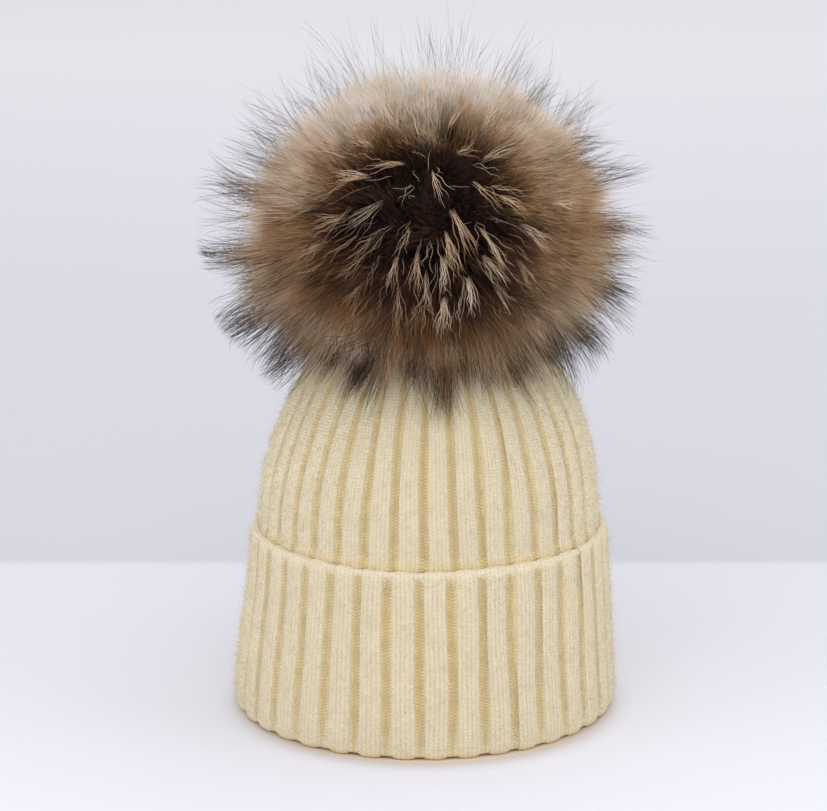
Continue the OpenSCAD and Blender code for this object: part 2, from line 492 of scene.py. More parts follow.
def knit_layer(name, profile, columns, depth, warm_shade, contact_shade, lip, stitch_relief, slump, seed, material):
    """A closed layer of rib knit: profile turned round the axis, with its ribs in relief.

    Returns the piece, its vertices as (rows, columns, 3) and the directions that they face.

    depth, golden, glow, lip, stitch_relief and slump have one value for each row of the profile. golden
    is painted warm shade between the ribs, and glow is painted warm shade over them where the knit meets
    the table or the cuff's edge. lip is the cuff's edge, and slump is how far the left side sinks in.
    """
    rng = np.random.default_rng(seed)
    tangent = unit(np.roll(profile, -1, 0) - np.roll(profile, 1, 0))
    outward = np.stack([tangent[:, 1], -tangent[:, 0]], 1)
    rows, cols = len(profile), columns.count
    run = np.concatenate([[0], np.cumsum(np.linalg.norm(np.diff(profile, axis=0), axis=1))])
    course = run / COURSE

    depth, warm_shade, contact_shade, lip, stitch_relief, slump = (
        row[:, None] for row in (depth, warm_shade, contact_shade, lip, stitch_relief, slump))
    rib_depth = rng.uniform(0.86, 1.12, RIBS)[columns.rib]
    row_sign = np.where(np.arange(rows) % 2 == 0, 1.0, -1.0)[:, None]
    relief = -depth * rib_depth * columns.groove
    relief = relief + WALE_RELIEF * stitch_relief * columns.ridge
    relief = relief + PURL_RELIEF * stitch_relief * row_sign * columns.purl
    relief = relief + COURSE_RELIEF * stitch_relief * row_sign * (1 - columns.groove)

    # the ribs sway a little, and the round is a little uneven
    sway_phase = rng.uniform(0, 2 * math.pi, (2, RIBS))[:, columns.rib]
    around, height = profile[:, :1], profile[:, 1:]
    sway = 0.2 * np.sin(height / 8 + sway_phase[0]) + 0.4 * np.sin(height / 21 + sway_phase[1])
    angle = columns.angle + sway / np.maximum(around, 20)
    bend = 0.35 * np.sin(2 * angle + 0.7) + 0.25 * np.sin(3 * angle + height / 40)
    bend = bend * smooth_step(0, 30, around) - 0.2
    bend = bend - slump * np.maximum(0, 0.25 - 0.75 * np.cos(angle))
    radius = around + outward[:, :1] * relief + bend
    z = height + outward[:, 1:] * relief
    z = z + lip * (0.3 * np.sin(5 * angle + 1.0) - 0.3 * columns.groove)
    verts = np.stack([radius * np.cos(angle), radius * np.sin(angle), z], -1)

    i, j = np.meshgrid(np.arange(rows), np.arange(cols), indexing="ij")
    corner_row = np.stack([i, i, i + 1, i + 1], -1).reshape(-1, 4)
    corner_col = np.stack([j, j + 1, j + 1, j], -1).reshape(-1, 4)
    quads = (corner_row % rows) * cols + corner_col % cols
    wale_at = np.append(columns.wale, columns.wale[0] + RIBS * (WALES + GROOVE_WALES))
    course_at = np.append(course, course[-1] + 1)
    stitches = np.stack([wale_at[corner_col], course_at[corner_row]], -1)
    layout = np.stack([corner_col / cols, corner_row / rows], -1)
    # the painted warm shade narrows towards each groove's middle, and the painted contact shade lies
    # over it
    narrowed = np.clip(2.2 * warm_shade - 1.2 * columns.off, 0, 1)
    warm_shade_share = np.maximum(narrowed * columns.warm_shade_share, contact_shade)
    piece = new_piece(
        name, verts.reshape(-1, 3), quads, material,
        uvs={BAKE_UV: layout, KNIT_UV: stitches},
        attributes={"warm_shade": warm_shade_share, "lip": np.repeat(lip, cols)},
    )
    return piece, verts, unit(np.stack([
        outward[:, :1] * np.cos(angle),
        outward[:, :1] * np.sin(angle),
        np.broadcast_to(outward[:, 1:], angle.shape),
    ], -1))


def make_cuff(material):
    """The turned-up cuff: one layer that is folded under at its foot."""
    inner_top = CUFF_LIP_R - KNIT_T
    inner_foot = CUFF_FOOT_R - KNIT_T
    tuck_in = TUBE_R - KNIT_T + 0.2
    lip_z = CUFF_H - LIP_ROUND
    face = [[CUFF_FOOT_R, FOLD_TALL], [CUFF_FOOT_R - 0.3, FOLD_TALL + 8], [CUFF_LIP_R, lip_z]]
    lip_arc = arc(CUFF_LIP_R - LIP_ROUND, lip_z, LIP_ROUND, 0, 180)
    inside = [[inner_top, lip_z], [inner_foot, TUCK_Z + 6], [inner_foot - 2, TUCK_Z]]
    tuck = [[inner_foot - 2, TUCK_Z], [tuck_in + LIP_ROUND, KNIT_T]]
    tuck_arc = arc(tuck_in + LIP_ROUND, LIP_ROUND, LIP_ROUND, 90, 270)
    under = [[tuck_in + LIP_ROUND, 0], [CUFF_FOOT_R - FOLD_WIDE, 0]]
    fold = arc(0, 0, 1, -90, 0) * [FOLD_WIDE, FOLD_TALL] + [CUFF_FOOT_R - FOLD_WIDE, FOLD_TALL]
    profile = closed_profile((face, ROW), (lip_arc, 1.3), (inside, 7), (tuck, 3), (tuck_arc, 2),
                             (under, 2), (fold, 0.8))
    r, z = profile.T
    outer_face = r > inner_foot + 0.5 + (CUFF_LIP_R - CUFF_FOOT_R) * z / CUFF_H
    below_lip = CUFF_H - z
    depth = 0.15 + 1.05 * smooth_step(0.0, 3.2, below_lip)
    depth = np.where(outer_face, depth * (0.75 + 0.25 * smooth_step(0, 14, z)), 0.15)
    # painted warm shade in the grooves, less near the lip and the foot, and a little over the cuff's
    # inside
    warm_shade = smooth_step(0.2, 6.0, below_lip) * (0.45 + 0.55 * smooth_step(4, 18, z))
    warm_shade = np.where(outer_face, warm_shade, 0.3)
    lip = np.where(outer_face | (below_lip < 3), 1 - smooth_step(0.8, 2.6, below_lip), 0)
    relief = np.where(outer_face, smooth_step(1.5, 4.0, below_lip), 0.0) * smooth_step(1, 5, z)
    columns = Columns(rib_columns=20, groove_columns=6, groove_at=-3.0)
    flare = -2.6 * smooth_step(58, 8, z) * smooth_step(-3, 1, z)
    # painted warm shade where the cuff's foot meets the table, and at half strength over its inside and
    # underside below the top of its edge
    inside_contact_shade = 0.5 * smooth_step(CUFF_H, CUFF_H - 1.5, z)
    contact_shade = np.where(outer_face, 0.6 * smooth_step(3.0, 0.5, z), inside_contact_shade)
    return knit_layer("cuff_knit_layer", profile, columns, depth, warm_shade, contact_shade, lip, relief, flare,
                      seed=11, material=material)


def make_crown(material):
    """The body of the hat: a tube that stands in the fold and closes in a gathered top."""
    outline = dome(0)
    fine_to = int(np.argmax(outline[:, 1] > CROWN_TOP - 11))
    lining = dome(KNIT_T)[::-1]
    # the knit laps onto the cuff's edge and narrows slowly behind it
    shoulder = [[TUBE_R, SHOULDER_Z], [TUBE_R + 0.6, CUFF_H - 19], [TUBE_R + 1.3, CUFF_H - 11],
                [TUBE_R + 2.0, CUFF_H - 5], [TUBE_R + 2.6, CUFF_H - 2.2], [TUBE_R + 2.9, CUFF_H - 0.7],
                [TUBE_R + 2.9, CUFF_H + 0.3], [TUBE_R + 2.6, CUFF_H + 3], [TUBE_R + 2.3, CUFF_H + 10]]
    tube_in = TUBE_R - KNIT_T
    profile = closed_profile(
        ([[TUBE_R, TUBE_FOOT_Z], [TUBE_R, SHOULDER_Z]], 4 * ROW),
        (np.concatenate([shoulder, outline[:fine_to + 1]]), ROW),
        (outline[fine_to:], 2 * ROW),
        ([outline[-1], [SHANK_HOLE_R, CROWN_TOP]], 1.8),
        ([[SHANK_HOLE_R, CROWN_TOP], [SHANK_HOLE_R, CROWN_TOP - KNIT_T]], 2.5),
        ([[SHANK_HOLE_R, CROWN_TOP - KNIT_T], lining[0]], 4),
        (lining, 10),
        ([lining[-1], [tube_in + 1.3, CUFF_H + 6], [tube_in, CUFF_H], [tube_in, TUBE_FOOT_Z]], 10),
        ([[tube_in, TUBE_FOOT_Z], [TUBE_R, TUBE_FOOT_Z]], 2.5),
    )
    r, z = profile.T
    top_row = int(np.argmin(np.abs(r - SHANK_HOLE_R) + (CROWN_TOP - z) * 10))
    outer_face = np.arange(len(profile)) <= top_row
    spread = np.clip(r / DOME_R, 0, 1)
    depth = np.where(outer_face, 1.65 * spread ** 0.8, 0.5) * smooth_step(0, 3, z - TUBE_FOOT_Z + 1)
    at_lip = smooth_step(CUFF_H - 3, CUFF_H - 1, z) * smooth_step(CUFF_H + 4, CUFF_H + 1, z)
    depth = depth * (1 - 0.65 * at_lip)
    # painted warm shade in the grooves, and a little on the lining
    warm_shade = np.where(outer_face, 1.0, 0.3)
    # painted warm shade just above and below where the crown lies on the cuff's edge
    contact_shade = 0.5 * smooth_step(CUFF_H + 4.5, CUFF_H + 0.5, z) * smooth_step(CUFF_H - 3, CUFF_H - 1, z)
    contact_shade = np.where(outer_face, contact_shade, 0.0)
    lip = np.zeros(len(profile))
    relief = np.where(outer_face & (z < CROWN_TOP - 0.1), np.clip(spread * 1.1, 0, 1), 0.0)
    columns = Columns(rib_columns=15, groove_columns=4, groove_at=-1.6)
    slump = np.where(outer_face, 3.0 * smooth_step(76, 122, z) * smooth_step(0, 30, r), 0.0)
    return knit_layer("crown_knit_layer", profile, columns, depth, warm_shade, contact_shade, lip, relief, slump,
                      seed=12, material=material)


# -------------------- strands

TONE_BAND = 0.012               # how much of the tone axis one hair takes in the bake layout


def strand_piece(name, paths, radius, tone, material):
    """Hairs as closed three-sided tubes that taper to a point.

    paths is (hairs, points, 3); radius is (hairs, points) and its last column isn't used.
    """
    count, points, _ = paths.shape
    sides = 3
    rings = points - 1
    axis = unit(paths[:, -1] - paths[:, 0])
    helper = np.where(np.abs(axis[:, 2:3]) < 0.9, [[0.0, 0.0, 1.0]], [[1.0, 0.0, 0.0]])
    side_a = unit(np.cross(axis, helper))
    side_b = np.cross(axis, side_a)
    verts = np.empty((count, rings * sides + 1, 3))
    for k in range(sides):
        turn = 2 * math.pi * k / sides
        off = side_a * math.cos(turn) + side_b * math.sin(turn)
        verts[:, k:rings * sides:sides] = paths[:, :rings] + radius[:, :rings, None] * off[:, None]
    verts[:, -1] = paths[:, -1]

    side = np.arange(sides)
    ring = np.arange(rings - 1)[:, None]
    low, low_next = ring * sides + side, ring * sides + (side + 1) % sides
    quads = np.stack([low, low_next, low_next + sides, low + sides], -1).reshape(-1, 4)
    last = (rings - 1) * sides
    tips = np.stack([last + side, last + (side + 1) % sides, np.full(sides, rings * sides)], -1)
    tris = np.concatenate([tips, [[2, 1, 0]]])
    along = np.append(np.repeat(np.arange(rings), sides), rings) / rings
    aside = np.append(np.tile([0.0, 1.0, 0.5], rings), 0.5)

    base = (np.arange(count) * (rings * sides + 1))[:, None, None]
    all_quads = (quads[None] + base).reshape(-1, 4)
    all_tris = (tris[None] + base).reshape(-1, 3)

    def layout(faces):
        u = np.broadcast_to(along[faces][None], (count, *faces.shape))
        v = np.clip(tone, 0, 1 - TONE_BAND)[:, None, None] + TONE_BAND * aside[faces][None]
        return np.stack([u, v], -1).reshape(-1, 2)

    return new_piece(
        name, verts.reshape(-1, 3), all_quads, material, tris=all_tris,
        uvs={BAKE_UV: np.concatenate([layout(quads), layout(tris)])},
    )


def taper(count, points, radius, tip_share=0.3):
    """Hair radii: full at the root, thin at the tip."""
    t = np.linspace(0, 1, points)
    return np.asarray(radius).reshape(-1, 1) * np.ones((count, 1)) * (1 - (1 - tip_share) * t ** 2)[None]


FUZZ_SUNK = 0.3                 # how deep a fibre starts, and how far out it is held
FUZZ_R = 0.045


def make_fuzz(name, verts, normals, count, seed, material):
    """Short wool fibres that stand off some rows of a knit layer's outer face."""
    rng = np.random.default_rng(seed)
    area = np.linalg.norm(verts[..., :2], axis=-1).mean(1)
    row = rng.choice(len(verts), count, p=area / area.sum())
    col = rng.integers(0, verts.shape[1], count)
    normal = normals[row, col]
    root = verts[row, col] - FUZZ_SUNK * normal
    lean = unit(rng.normal(size=(count, 3)))
    length = rng.gamma(3.0, 0.7, count)[:, None]
    out = unit(normal * rng.uniform(0.25, 0.9, (count, 1)) + lean * 0.75)
    out = out + normal * np.maximum(0, 0.12 - np.sum(out * normal, -1, keepdims=True))
    curl = unit(rng.normal(size=(count, 3))) * 0.45
    t = np.linspace(0, 1, 3)[None, :, None]
    paths = root[:, None] + length[:, None] * (out[:, None] * t + curl[:, None] * t * t * (1.2 - t))
    lift = np.sum((paths - root[:, None]) * normal[:, None], -1, keepdims=True)
    paths = paths + normal[:, None] * np.maximum(0, FUZZ_SUNK * np.minimum(1, 3 * t) - lift)
    paths[..., 2] = np.maximum(paths[..., 2], 0.15)
    return strand_piece(name, paths, taper(count, 3, FUZZ_R, 0.6), rng.uniform(0, 1, count), material)


# -------------------- pompom

PATCH_TILT = math.radians(15.2)
PATCH = np.array([0.0, -math.cos(PATCH_TILT), math.sin(PATCH_TILT)])  # the dark patch faces this way
PATCH_SIDE = np.array([1.0, 0.0, 0.0])
PATCH_UP = np.cross(PATCH_SIDE, PATCH)
WHORL = unit(np.array([0.05, -0.80, 0.60]))  # the front hair spreads from here
LOWEST_HAIR = -55.0             # elevation of the hair that lies lowest over the crown
ROOT_R = 38.0                   # distance from the ball's centre at which hair starts
LOW_ROOT_R = 44.0               # the same for the low locks
LOW_LIFT = 0.28                 # how much higher and further in low hair starts
FREE_REACH = 76.0               # hair that reaches past this is held back more and more,
MOST_REACH = 85.5               # and never gets this far


def golden_turns(count):
    """Angles that spread points evenly over a spiral."""
    return np.arange(count) * math.pi * (3 - math.sqrt(5))


def spread_directions(rng, count, jitter=1.0):
    """Directions spread evenly over the ball, down to the lowest hair."""
    low = math.sin(math.radians(LOWEST_HAIR))
    z = 1 - (np.arange(count) + rng.uniform(0, 1, count)) / count * (1 - low)
    turn = golden_turns(count) + jitter * rng.normal(size=count) * 0.02
    r = np.sqrt(np.maximum(0, 1 - z * z))
    return np.stack([r * np.cos(turn), r * np.sin(turn), z], 1)


def angle_from(axis, d):
    """How far each direction is from axis."""
    return np.degrees(np.arccos(np.clip(d @ axis, -1, 1)))


def elevation(d):
    """How far each direction is above the level."""
    return np.degrees(np.arcsin(np.clip(d[:, 2], -1, 1)))


def ball_radius(d):
    """How far the dense fur reaches: the ball is wider than it is tall, and lies over the crown."""
    return np.interp(elevation(d), [-55, -46, -35, -20, 0, 25, 45, 70, 90],
                     [62, 66, 69, 67.5, 65, 59.5, 54.5, 51.5, 51])


def pelt_tone(d):
    """How pale the pelt is: dark in the front patch and behind, sandy between, pale on top. The pale top
    is partly the pelt's own colour and partly painted top light, and the slightly paler underside is
    painted bounce light.
    """
    up = smooth_step(2, 48, elevation(d))
    down = smooth_step(0, 30, -elevation(d))
    wide = angle_from(PATCH, d) * (1 + 0.12 * up - 0.12 * down)
    tone = np.interp(wide, [0, 20, 30, 40, 50, 62, 90, 130, 155, 180],
                     [0.02, 0.10, 0.21, 0.39, 0.54, 0.64, 0.67, 0.62, 0.42, 0.32])
    ring = smooth_step(22, 50, wide)
    turn = np.arctan2(d @ PATCH_UP, d[:, 0])
    spokes = np.cos(9 * turn + 1.2) + np.cos(14 * turn + 2.9) + np.cos(23 * turn + 0.4 + 3 * d[:, 2])
    spokes = spokes / 3 * smooth_step(16, 34, wide) * (1 - smooth_step(60, 95, wide))
    broad = waves(np.random.default_rng(6), d, 24, 4)
    fine = waves(np.random.default_rng(7), d, 30, 12)
    # round the patch the pelt is paler on top, partly its own colour and partly painted top light, and a
    # little paler underneath as painted bounce light
    return tone + ring * (0.30 * up + 0.10 * down) + 0.04 * broad + 0.05 * fine + 0.14 * spokes


def calm(d):
    """How much hair tones vary: hardly at all where hair is seen end on, in the whorl."""
    return smooth_step(4, 26, angle_from(WHORL, d))


def swept(d, degrees_out):
    """Directions turned away from the whorl that the front hair spreads from."""
    away = d - (d @ WHORL)[:, None] * WHORL
    away = away / np.maximum(np.linalg.norm(away, axis=1, keepdims=True), 0.15)
    return unit(d + away * np.tan(np.radians(degrees_out))[:, None])


def off_crown(points, margin):
    """Moves points that are inside the crown out to margin above it."""
    r = np.linalg.norm(points[..., :2], axis=-1)
    h = points[..., 2] - DOME_Z
    big_r, big_h = DOME_R + margin, DOME_H + margin
    inside = (r / big_r) ** 2 + (np.maximum(h, 0) / big_h) ** DOME_POWER
    grow = np.where(inside < 1, np.maximum(inside, 1e-3) ** (-1 / 2.2), 1.0)
    grow = np.where(h > 0, grow, 1.0)
    return np.concatenate([points[..., :2] * grow[..., None], (DOME_Z + h * grow)[..., None]], -1)


class Locks:
    """Locks of hair over the ball: each direction's nearest lock, and what that lock's hairs share.

    middle is the lock's own direction, off each hair's distance from it, own six random numbers and
    lean the last three of them.
    """

    def __init__(self, d, count, seed, jitter=7.0):
        centres = spread_directions(np.random.default_rng(seed), count, jitter)
        nearest = np.empty(len(d), int)
        for start in range(0, len(d), 4000):
            nearest[start:start + 4000] = np.argmax(d[start:start + 4000] @ centres.T, axis=1)
        self.middle = centres[nearest]
        self.off = np.linalg.norm(d - self.middle, axis=1) / (1.9 / math.sqrt(count))
        self.own = np.random.default_rng(seed + 1).normal(size=(6, count))[:, nearest]
        self.lean = self.own[3:6].T


def hair_paths(rng, tip_dir, root_r, tip_r, points, bend, curl, wave, wave_length):
    """Hair centre lines from the hide outwards. Low hair starts higher up and lies over the crown.

    bend is each hair's own random arch and curl the arch that a lock's hairs share, as shares of length.
    """
    count = len(tip_dir)
    low = smooth_step(5, 50, -elevation(tip_dir))
    root_dir = tip_dir.copy()
    root_dir[:, 2] = root_dir[:, 2] + LOW_LIFT * low
    root_dir = unit(root_dir)
    root_r = root_r * (1 - LOW_LIFT * low)
    root = root_dir * root_r[:, None]
    tip = tip_dir * tip_r[:, None]
    t = np.linspace(0, 1, points)[None, :, None]
    side = unit(np.cross(tip_dir, rng.normal(size=(count, 3))))
    sag = np.array([0, 0, -1.0]) * (1 - np.abs(tip_dir[:, 2:3])) * 0.10
    run = (tip_r - root_r)[:, None]
    arch = (side * rng.normal(size=(count, 1)) * bend + curl + sag) * run
    paths = root[:, None] * (1 - t) + tip[:, None] * t + arch[:, None] * (t * t - 0.45 * t)
    phase = rng.uniform(0, 2 * math.pi, (count, 1, 1))
    other = np.cross(tip_dir, side)
    turns = 2 * math.pi * run[:, None] * t / wave_length
    wiggle = side[:, None] * np.sin(turns + phase) + other[:, None] * np.cos(1.3 * turns + phase)
    paths = paths + np.asarray(wave).reshape(-1, 1, 1) * wiggle * np.minimum(1, 3 * t)
    reach = np.linalg.norm(paths, axis=-1, keepdims=True)
    give = MOST_REACH - FREE_REACH
    held = np.where(reach > FREE_REACH, FREE_REACH + give * np.tanh((reach - FREE_REACH) / give), reach)
    return POM_CENTRE + paths * held / np.maximum(reach, 1e-6)


def hair_pieces(name, parts, rng, paths, radius, tone, material):
    """Splits hairs at random into several pieces, so that none is too heavy."""
    pick = rng.permutation(len(paths))
    return [
        strand_piece(f"{name}_{k + 1}", paths[pick[k::parts]], radius[pick[k::parts]],
                     tone[pick[k::parts]], material)
        for k in range(parts)
    ]


def front_sweep(tip_dir, most):
    """Hair of the front patch lies outwards from its whorl."""
    angle = angle_from(WHORL, tip_dir)
    return swept(tip_dir, most * smooth_step(4, 28, angle) * (1 - smooth_step(60, 95, angle)))


def make_underfur(material):
    """Dense woolly fur in soft pointed locks."""
    rng = np.random.default_rng(21)
    parts, per_part, points = 6, 13000, 5
    count = parts * per_part
    d = spread_directions(rng, count)
    big, small = Locks(d, 380, 22), Locks(d, 2400, 24)
    pull = 0.5
    tip_dir = unit(d * (1 - pull) + small.middle * pull + rng.normal(size=(count, 3)) * 0.03
                   + 0.07 * big.lean + 0.035 * small.lean)
    tip_dir = front_sweep(tip_dir, 7)
    length = (ball_radius(d) + 1.6 * big.own[0] + 1.2 * small.own[0] - 2.2 * small.off ** 2
              + rng.normal(size=count) * 1.6)
    low = smooth_step(25, 50, -elevation(d))
    length = length + 2.5 * low * big.own[1]
    varied = 0.05 * big.own[2] + 0.05 * small.own[2] + 0.04 * rng.normal(size=count)
    tone = pelt_tone(d) + varied * calm(d) - 0.08 * (1 - calm(d))
    paths = hair_paths(rng, tip_dir, ROOT_R, length, points, 0.1,
                       0.14 * big.lean + 0.08 * small.lean, 0.5, 8.0)
    paths = off_crown(paths, rng.uniform(1.0, 4.0, (count, 1)))
    return hair_pieces("underfur", parts, rng, paths, taper(count, points, 0.09, 0.3), tone, material)


def make_awn_hair(material):
    """Straighter tan and brown hair that streaks the underfur, in tufts without black tips."""
    rng = np.random.default_rng(61)
    parts, per_part, points = 2, 8000, 6
    count = parts * per_part
    d = spread_directions(rng, count)
    big, small = Locks(d, 380, 22), Locks(d, 1100, 62)
    pull = rng.uniform(0.45, 0.9, (count, 1))
    tip_dir = unit(d * (1 - pull) + small.middle * pull + rng.normal(size=(count, 3)) * 0.03
                   + 0.08 * big.lean + 0.05 * small.lean)
    tip_dir = front_sweep(tip_dir, 12)
    length = ball_radius(d) + 1.0 + 1.6 * big.own[0] + 1.8 * small.own[0] + rng.normal(size=count) * 1.6
    varied = 0.05 * big.own[2] + 0.12 * small.own[1] + 0.04 * rng.normal(size=count)
    tone = pelt_tone(d) - 0.02 + varied * calm(d) - 0.08 * (1 - calm(d))
    paths = hair_paths(rng, tip_dir, ROOT_R, length, points, 0.1,
                       0.14 * big.lean + 0.16 * small.lean, 0.4, 14.0)
    paths = off_crown(paths, rng.uniform(1.2, 5.0, (count, 1)))
    radius = taper(count, points, rng.uniform(0.06, 0.1, count), 0.3)
    return hair_pieces("awn_hair", parts, rng, paths, radius, tone, material)


def make_guard_hair(material):
    """Long black-tipped guard hair in tufts, dense low down and sparse on top."""
    rng = np.random.default_rng(31)
    points, tried = 8, 21000
    d = spread_directions(rng, tried)
    tufts = Locks(d, 430, 32, 10.0)
    share = np.interp(elevation(tufts.middle), [-55, -46, -38, -30, -20, 0, 20, 45, 70, 90],
                      [0.05, 0.15, 0.6, 1.4, 1.0, 0.45, 0.34, 0.13, 0.06, 0.05])
    uneven = 0.8 - 0.35 * smooth_step(20, 45, elevation(tufts.middle))
    share = share * np.exp(uneven * tufts.own[1])
    share = share * (0.06 + 0.94 * smooth_step(25, 70, angle_from(PATCH, tufts.middle)))
    keep = rng.uniform(size=tried) < share
    d, middle, own, tuft_lean = d[keep], tufts.middle[keep], tufts.own[:, keep], tufts.lean[keep]
    count = len(d)
    pull = rng.uniform(0.4, 0.95, (count, 1))
    tip_dir = unit(d * (1 - pull) + middle * pull + rng.normal(size=(count, 3)) * 0.034
                   + 0.11 * tuft_lean)
    tip_dir = front_sweep(tip_dir, 11)
    high = smooth_step(35, 65, elevation(d))
    length = ball_radius(d) + 9.5 + 4.5 * high + 4.0 * own[0] + rng.normal(size=count) * (3.2 + 2 * high)
    length = np.clip(length, ball_radius(d) + 1, 88)
    tone = pelt_tone(d) - 0.08 + 0.06 * rng.normal(size=count)
    paths = hair_paths(rng, tip_dir, ROOT_R, length, points, 0.16,
                       0.3 * tuft_lean, 0.45, 18.0)
    paths = off_crown(paths, rng.uniform(1.2, 6.0, (count, 1)))
    thick = 1 + 0.3 * smooth_step(0, 30, -elevation(d)) - 0.15 * high
    radius = taper(count, points, rng.uniform(0.055, 0.105, count) * thick, 0.35)
    return hair_pieces("guard_hair", 2, rng, paths, radius, tone, material)


def make_low_locks(material):
    """Irregular dark locks that hang from the ball's lowest edge over the crown."""
    rng = np.random.default_rng(71)
    locks, points = 46, 8
    turn = np.radians(np.arange(locks) * 360 / locks + rng.uniform(-7, 7, locks))
    heavy = np.where(rng.uniform(size=locks) < 0.4, 2.3, 0.8) * (0.25 + 0.75 * np.abs(np.sin(turn)))
    size = np.round(rng.integers(30, 120, locks) * heavy).astype(int)
    own = np.repeat(np.arange(locks), size)
    count = len(own)
    low = np.radians(-rng.uniform(40, 54, locks))
    middle = np.stack([np.cos(turn) * np.cos(low), np.sin(turn) * np.cos(low), np.sin(low)], 1)
    aside = rng.normal(size=(count, 3))
    tip_dir = unit(middle[own] + aside * rng.uniform(0.018, 0.05, locks)[own][:, None])
    reach = rng.uniform(3, 19, locks) * (0.2 + 0.8 * np.abs(np.sin(turn)))
    length = ball_radius(tip_dir) + reach[own] * rng.uniform(0.15, 1.0, count) ** 1.3
    length = length + rng.normal(size=count) * 2.5 - 1.2 * (np.linalg.norm(aside, axis=1) - 1)
    lean = rng.normal(size=(locks, 3))[own]
    tone = 0.30 + 0.07 * rng.normal(size=locks)[own] + 0.05 * rng.normal(size=count)
    paths = hair_paths(rng, tip_dir, LOW_ROOT_R, length, points, 0.1, 0.2 * lean, 0.4, 16.0)
    paths = off_crown(paths, rng.uniform(1.5, 6.0, (count, 1)))
    radius = taper(count, points, rng.uniform(0.07, 0.13, count), 0.3)
    return strand_piece("low_locks", paths, radius, tone, material)


def make_pale_tufts(material):
    """Pale tufts that lie outwards in the dark front patch, open like small brushes, and loose curls."""
    rng = np.random.default_rng(41)
    brushes, curls, points = 40, 110, 11
    tufts = brushes + curls
    is_curl = np.arange(tufts) >= brushes
    out = np.where(is_curl, 4 + 50 * rng.uniform(size=tufts) ** 0.7,
                   5 + 45 * ((np.arange(tufts) + 0.5) / brushes) ** 0.62)
    turn = np.where(is_curl, rng.uniform(0, 2 * math.pi, tufts), golden_turns(tufts))
    out = out * (1 - 0.35 * np.maximum(0, np.sin(turn))) + rng.normal(size=tufts)
    aside = PATCH_SIDE * np.cos(turn)[:, None] + PATCH_UP * np.sin(turn)[:, None]
    centre = PATCH * np.cos(np.radians(out))[:, None] + aside * np.sin(np.radians(out))[:, None]
    size = np.where(is_curl, rng.integers(1, 4, tufts), rng.integers(6, 19, tufts))
    from_whorl = angle_from(WHORL, centre)
    near = 1 - smooth_step(6, 26, from_whorl)
    size = np.where(is_curl, size * (from_whorl > 3), np.round(size * (1 - 0.5 * near)).astype(int))
    own = np.repeat(np.arange(tufts), size)
    count, curly = len(own), is_curl[own]
    lie = rng.uniform(8, 15, tufts) + np.where(is_curl, -5, -1) * near
    lie = lie[own] + rng.normal(size=count) * np.where(curly, 3.0, 1.5)
    reach = (ball_radius(centre) + rng.uniform(0.0, 4.0, tufts))[own] + rng.normal(size=count) * 0.8
    root_dir = unit(centre[own] + rng.normal(size=(count, 3)) * 0.007)
    lean = rng.normal(size=(tufts, 3))[own] * 0.03
    away = centre - (centre @ WHORL)[:, None] * WHORL
    away = unit(away + rng.normal(size=(tufts, 3)) * (0.02 + 0.08 * near)[:, None])[own]
    tip_dir = unit(root_dir + away * np.tan(np.radians(lie))[:, None] + lean
                   + rng.normal(size=(count, 3)) * 0.033)
    root = root_dir * (reach - (rng.uniform(7, 12, tufts) - 4 * near)[own])[:, None]
    tip = tip_dir * reach[:, None]
    t = np.linspace(0, 1, points)[None, :, None]
    side = unit(np.cross(tip_dir, WHORL))
    wave = np.where(curly, rng.uniform(0.3, 0.9, count), rng.uniform(0.15, 0.55, count))[:, None, None]
    turns = rng.uniform(0.8, 2.6, (count, 1, 1)) * 2 * math.pi * t + rng.uniform(0, 6.3, (count, 1, 1))
    opened = t ** 1.3
    paths = root[:, None] * (1 - opened) + tip[:, None] * opened
    paths = paths + side[:, None] * wave * (0.3 + t) * np.sin(turns)
    paths = paths + root_dir[:, None] * (4.0 * t * (1 - t))
    thick = np.where(curly, rng.uniform(0.05, 0.08, count), rng.uniform(0.06, 0.1, count))
    tone = rng.uniform(0, 1, tufts)[own] * 0.6 + rng.uniform(0, 0.4, count)
    radius = taper(count, points, thick, 0.3)
    return strand_piece("pale_tufts", POM_CENTRE + paths, radius, tone, material)


# -------------------- build

knit = knit_material()
fuzz = fuzz_material()
cuff, cuff_verts, cuff_facing = make_cuff(knit)
crown, crown_verts, crown_facing = make_crown(knit)
cuff_face = slice(0, 94)        # the rows up the cuff's outside
above_lip = int(np.argmax(crown_verts[:, 0, 2] > CUFF_H - 4))
crown_face = slice(above_lip, above_lip + 150)
cuff_fuzz = make_fuzz("cuff_fuzz", cuff_verts[cuff_face], cuff_facing[cuff_face], 42000, 51, fuzz)
crown_fuzz = make_fuzz("crown_fuzz", crown_verts[crown_face], crown_facing[crown_face], 46000, 52, fuzz)

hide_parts("turn_up_cuff")
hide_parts("crown_knit")
for piece in (cuff, cuff_fuzz):
    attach(piece, "cuff")
for piece in (crown, crown_fuzz):
    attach(piece, "crown")

underfur = make_underfur(underfur_material())
guard = make_guard_hair(guard_material("guard_hair", 0.62))
guard.append(make_low_locks(guard_material("low_lock_hair", 0.76)))
guard.extend(make_awn_hair(awn_material()))
tufts = make_pale_tufts(tuft_material())
for piece in underfur:
    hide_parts("underfur")
for piece in [*guard, tufts]:
    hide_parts("guard_fur")
for piece in [*underfur, *guard, tufts]:
    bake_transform(piece)

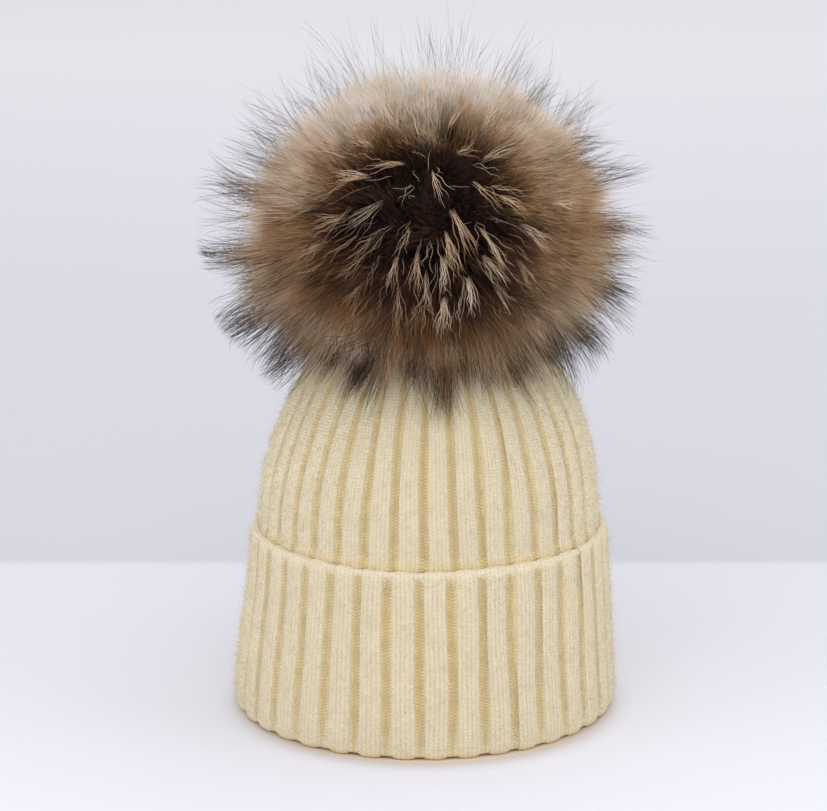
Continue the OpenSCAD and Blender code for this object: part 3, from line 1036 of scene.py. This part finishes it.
nickel = metal_material("nickel_plate", linear(205, 203, 198), 0.18)
seaming_yarn = thread_material("seaming_yarn", linear(206, 188, 140), linear(236, 226, 196))
plain_parts = {
    "stud_post_cap": nickel,
    "snap_stud": nickel,
    "snap_socket": nickel,
    "socket_post_cap": nickel,
    "snap_spring": metal_material("spring_wire", linear(170, 168, 164), 0.3),
    "backing_patch": felt_material(),
    "pompom_base_disc": plastic_material(),
    "pelt_drawstring": thread_material("waxed_thread", linear(40, 33, 28), linear(84, 72, 62)),
    "gather_thread": seaming_yarn,
    "back_seam": seaming_yarn,
    "pelt_hide": leather_material(),
    "fibre_stuffing": stuffing_material(),
}
for node, material in plain_parts.items():
    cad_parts[node].data.materials[0] = material


# -------------------- stage, light and camera


def make_stage():
    """A pale table with a slightly darker backdrop behind it, all on one plane, their tones painted with
    the studio's light falloff, and a painted contact shade round the hat's foot.
    """
    half = 8000
    verts = [[-half, -half, 0], [half, -half, 0], [half, half, 0], [-half, half, 0]]
    n = Nodes("pale_table", Roughness=0.75, Specular_IOR_Level=0.2)
    x, y, _ = n.place()
    depth = n.math("DIVIDE", n.math("SUBTRACT", y, TABLE_FRONT), TABLE_DEPTH)
    # painted light falloff: the table lighter towards the front, the backdrop darkest where it starts
    # and lighter further back
    tone = n.ramp(depth, [
        (0.0, linear(240, 240, 250)), (0.16, linear(231, 231, 239)), (0.180, linear(229, 229, 237)),
        (0.1825, linear(213, 213, 220)), (0.41, linear(224, 223, 231)), (0.78, linear(252, 251, 255)),
    ])
    # the soft warm contact shade round the foot, deeper towards the front
    off_x = n.math("SUBTRACT", x, SHADE_CENTRE[0])
    off_y = n.math("SUBTRACT", y, SHADE_CENTRE[1])
    squares = n.math("ADD", n.math("MULTIPLY", off_x, off_x), n.math("MULTIPLY", off_y, off_y))
    away = n.math("DIVIDE", n.math("SQRT", squares), SHADE_REACH)
    shade = n.ramp(away, [
        (0.63, (0.95, 0.83, 0.64, 1.0)), (0.655, (0.80, 0.72, 0.60, 1.0)),
        (0.69, (0.86, 0.84, 0.81, 1.0)), (0.72, (0.95, 0.95, 0.94, 1.0)), (0.76, grey(1.0)),
    ])
    tone = n.mix(1.0, tone, shade, "MULTIPLY")
    new_piece("floor", verts, [[0, 1, 2, 3]], n.finish(tone))


def make_light(name, place, aim, size, power):
    """A square lamp at place that faces aim, both in metres; power is in watts."""
    light = bpy.data.lights.new(name, "AREA")
    light.size = size
    light.energy = power
    lamp = bpy.data.objects.new(name, light)
    lamp.location = place
    direction = np.array(aim) - np.array(place)
    lamp.rotation_euler = Vector(direction).to_track_quat("-Z", "Y").to_euler()
    bpy.context.scene.collection.objects.link(lamp)


def make_world(strength):
    """Even light from all round, a little cool."""
    world = bpy.data.worlds.new("studio")
    world.use_nodes = True
    background = world.node_tree.nodes["Background"]
    background.inputs["Color"].default_value = (0.96, 0.965, 1.0, 1.0)
    background.inputs["Strength"].default_value = strength
    bpy.context.scene.world = world


def make_camera():
    """A long lens in front of the hat and a little above it."""
    tilt = math.radians(CAMERA_ELEVATION)
    to_camera = np.array([0.0, -math.cos(tilt), math.sin(tilt)])
    camera = bpy.data.objects.new("camera", bpy.data.cameras.new("camera"))
    camera.data.lens = CAMERA_LENS
    camera.data.sensor_width = 36
    camera.data.clip_end = 30
    camera.location = (CAMERA_AIM + to_camera * CAMERA_DISTANCE) * MM
    camera.rotation_euler = (math.radians(90 - CAMERA_ELEVATION), 0, 0)
    bpy.context.scene.collection.objects.link(camera)
    bpy.context.scene.camera = camera


bpy.context.scene.view_settings.view_transform = "Standard"
make_stage()
make_world(0.70)
make_light("key", (-0.15, -1.0, 1.3), (0, 0, 0.12), 1.2, 6.5)
make_light("top", (0.3, 0.3, 1.6), (0, 0, 0.15), 1.4, 5)
make_light("left", (-1.4, -0.6, 0.45), (0, 0, 0.1), 1.0, 5.4)
make_light("right", (1.4, -0.6, 0.45), (0, 0, 0.1), 1.0, 5.8)
make_camera()
